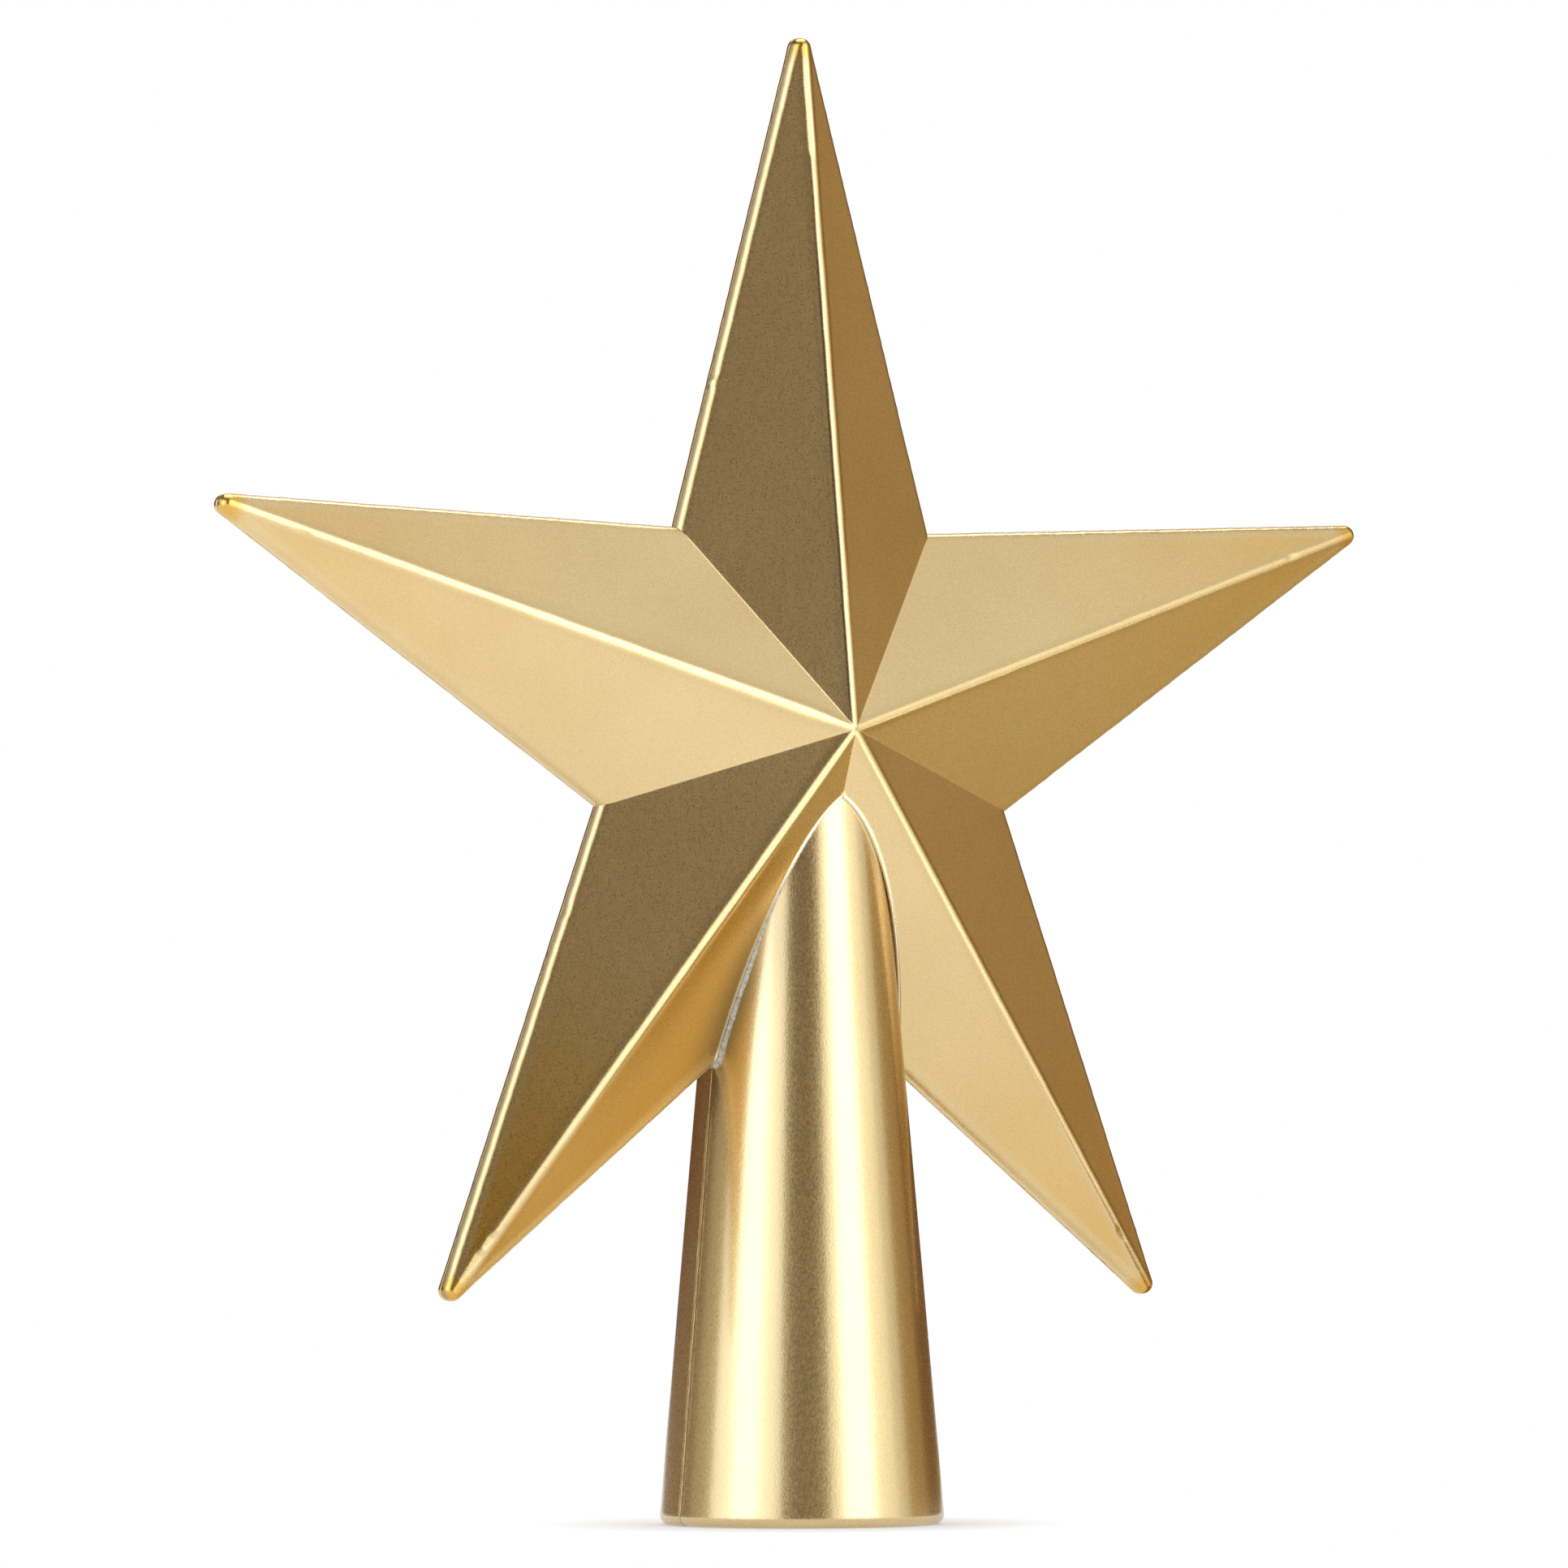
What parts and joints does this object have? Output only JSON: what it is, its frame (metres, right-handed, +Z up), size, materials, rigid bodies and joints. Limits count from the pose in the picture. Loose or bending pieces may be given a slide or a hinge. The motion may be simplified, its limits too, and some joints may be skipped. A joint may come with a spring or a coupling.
{
  "type": "tree topper star",
  "caption": "Gold faceted star with ridged points, moulded as two hollow shells and glued on a tapered hollow socket that slips over the tip of a Christmas tree.",
  "frame": {"origin": "centre of the socket's mouth, on the plane that its rim stands on", "axes": "+Z up along the socket's axis to the top point, +X to the right of a viewer who faces the front, +Y from the front of the star to its back"},
  "size_m": [0.1686, 0.036, 0.1894],
  "materials": {
    "star_gold": "moulded plastic with satin metallic gold paint",
    "socket_gold": "moulded plastic with smooth metallic gold paint",
    "seam_cement": "solvent cement under gold paint, scraped level",
    "arch_glue": "dried pale adhesive"
  },
  "bodies": {
    "root": {"front_star_shell": "star_gold", "back_star_shell": "star_gold", "star_seam_cement": "seam_cement", "front_socket_half": "socket_gold", "back_socket_half": "socket_gold", "socket_seam_cement": "seam_cement", "front_arch_glue": "arch_glue", "back_arch_glue": "arch_glue"}
  },
  "joints": []
}
